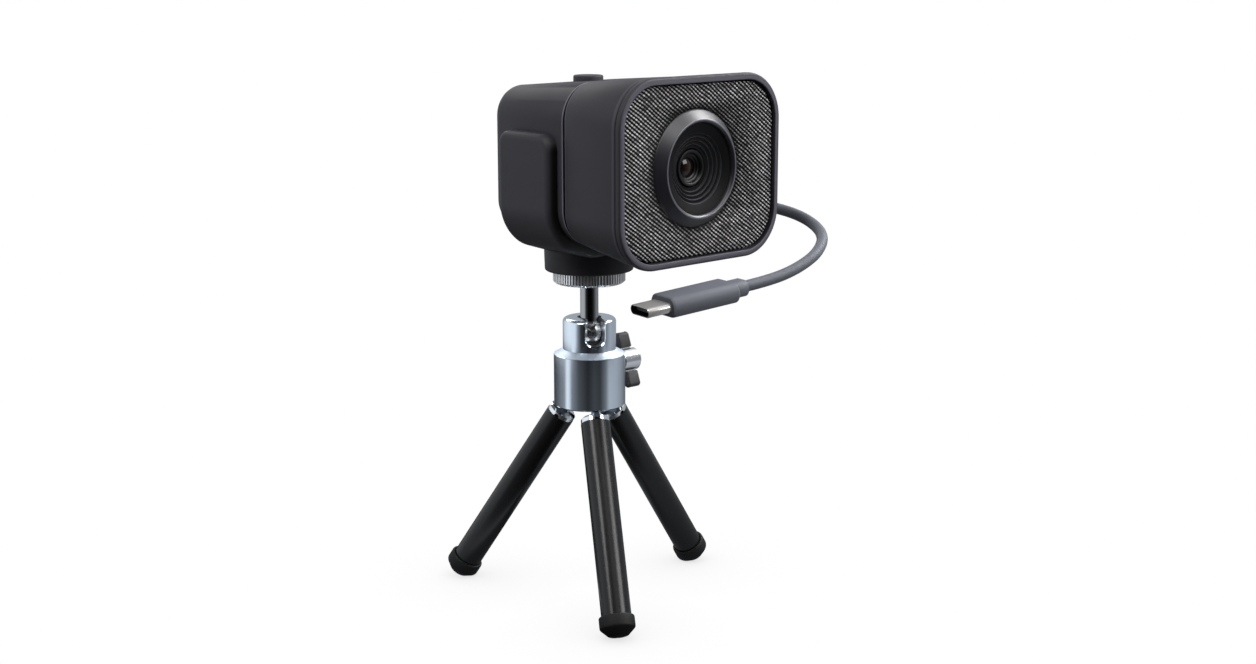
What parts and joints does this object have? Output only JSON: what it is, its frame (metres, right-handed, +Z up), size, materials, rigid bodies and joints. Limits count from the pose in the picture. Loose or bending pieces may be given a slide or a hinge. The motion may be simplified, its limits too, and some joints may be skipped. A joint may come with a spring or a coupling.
{
  "type": "webcam on mini tripod",
  "caption": "Webcam with a fabric face and round lens, in a U-shaped cradle on a ball-head mini tripod with folding legs, with a short plugged lead.",
  "frame": {"origin": "on the floor under the middle of the box around everything but the lead", "axes": "+Z up, -Y the way the lens looks, +X to the right as seen by the person in front of it"},
  "size_m": [0.0754, 0.093, 0.1451],
  "materials": {
    "shell_plastic": "satin charcoal",
    "fabric": "woven, heathered dark grey",
    "lens_ring": "satin black, bright edge",
    "lens_black": "matt black",
    "glass": "coated, dark",
    "board": "green lacquer",
    "spreader_aluminium": "plain",
    "mic_metal": "plain",
    "screw_steel": "plain",
    "head_steel": "turned and polished",
    "bright_steel": "polished",
    "thread_brass": "plain",
    "leg_black": "black satin paint",
    "foot_rubber": "matt black",
    "grip_black": "matt black",
    "lead_grey": "soft grey",
    "plug_steel": "drawn",
    "tongue_black": "plain"
  },
  "bodies": {
    "tripod_head": {"head_body": "head_steel", "leg_plate": "head_steel", "plate_screws": "screw_steel", "ball_seat": "thread_brass"},
    "stem": {"ball_stem": "bright_steel"},
    "locking_disc": {"lock_disc": "head_steel"},
    "clamp": {"clamp_screw": "bright_steel", "clamp_grips": "grip_black"},
    "cradle": {"yoke": "shell_plastic", "thread_collar": "shell_plastic", "thread_insert": "thread_brass", "collar_screws": "screw_steel"},
    "button": {"button_cap": "shell_plastic"},
    "leg_front": {"leg_fork_front": "bright_steel", "leg_tube_front": "leg_black", "leg_foot_front": "foot_rubber", "leg_pin_front": "screw_steel"},
    "leg_right": {"leg_fork_right": "bright_steel", "leg_tube_right": "leg_black", "leg_foot_right": "foot_rubber", "leg_pin_right": "screw_steel"},
    "leg_left": {"leg_fork_left": "bright_steel", "leg_tube_left": "leg_black", "leg_foot_left": "foot_rubber", "leg_pin_left": "screw_steel"},
    "camera": {"front_shell": "shell_plastic", "rear_shell": "shell_plastic", "front_bezel": "shell_plastic", "fabric_cover": "fabric", "lens_housing": "lens_ring", "lens_baffle": "lens_black", "lens_barrel": "lens_black", "lens_holder": "lens_black", "grille_plate": "lens_black", "tact_switch": "lens_black", "front_lens": "glass", "inner_lens": "glass", "sensor_board": "board", "main_board": "board", "switch_board": "board", "image_sensor": "board", "heat_spreader": "spreader_aluminium", "microphones": "mic_metal", "main_screws": "screw_steel", "sensor_screws": "screw_steel", "switch_screws": "screw_steel", "cable_gland": "lead_grey", "cable": "lead_grey", "plug_sleeve": "lead_grey", "plug_body": "lead_grey", "plug_shell": "plug_steel", "plug_tongue": "tongue_black"}
  },
  "joints": [
    {"name": "leg_front_fold", "type": "hinge", "parent": "tripod_head", "child": "leg_front", "pos_m": [-0.01164, -0.0046, 0.05018], "axis": [0.8443, -0.5358, 0], "range_deg": [0, 32.9]},
    {"name": "leg_right_fold", "type": "hinge", "parent": "tripod_head", "child": "leg_right", "pos_m": [0.00141, 0.00222, 0.05018], "axis": [0.0419, 0.9991, 0], "range_deg": [0, 32.9]},
    {"name": "leg_left_fold", "type": "hinge", "parent": "tripod_head", "child": "leg_left", "pos_m": [-0.01102, 0.01011, 0.05018], "axis": [-0.8862, -0.4633, 0], "range_deg": [0, 32.9]},
    {"name": "ball_tilt", "type": "hinge", "parent": "tripod_head", "child": "stem", "pos_m": [-0.00709, 0.00258, 0.07348], "axis": [0.8746, -0.4848, 0], "range_deg": [-7, 60]},
    {"name": "lock_disc_turn", "type": "hinge", "parent": "stem", "child": "locking_disc", "pos_m": [-0.00709, 0.00258, 0.0893], "axis": [0, 0, 1], "continuous": true},
    {"name": "cradle_swivel", "type": "hinge", "parent": "stem", "child": "cradle", "pos_m": [-0.00709, 0.00258, 0.094], "axis": [0, 0, 1], "continuous": true},
    {"name": "camera_pull", "type": "slide", "parent": "cradle", "child": "camera", "axis": [0, -1, 0], "range_m": [0, 0.02]},
    {"name": "button_press", "type": "slide", "parent": "camera", "child": "button", "axis": [0, 0, -1], "range_m": [0, 0.0008], "stiffness_N_per_m": 1500},
    {"name": "clamp_turn", "type": "hinge", "parent": "tripod_head", "child": "clamp", "pos_m": [-0.00709, 0.00258, 0.06398], "axis": [0.9991, -0.0419, 0], "range_deg": [0, 360]}
  ]
}
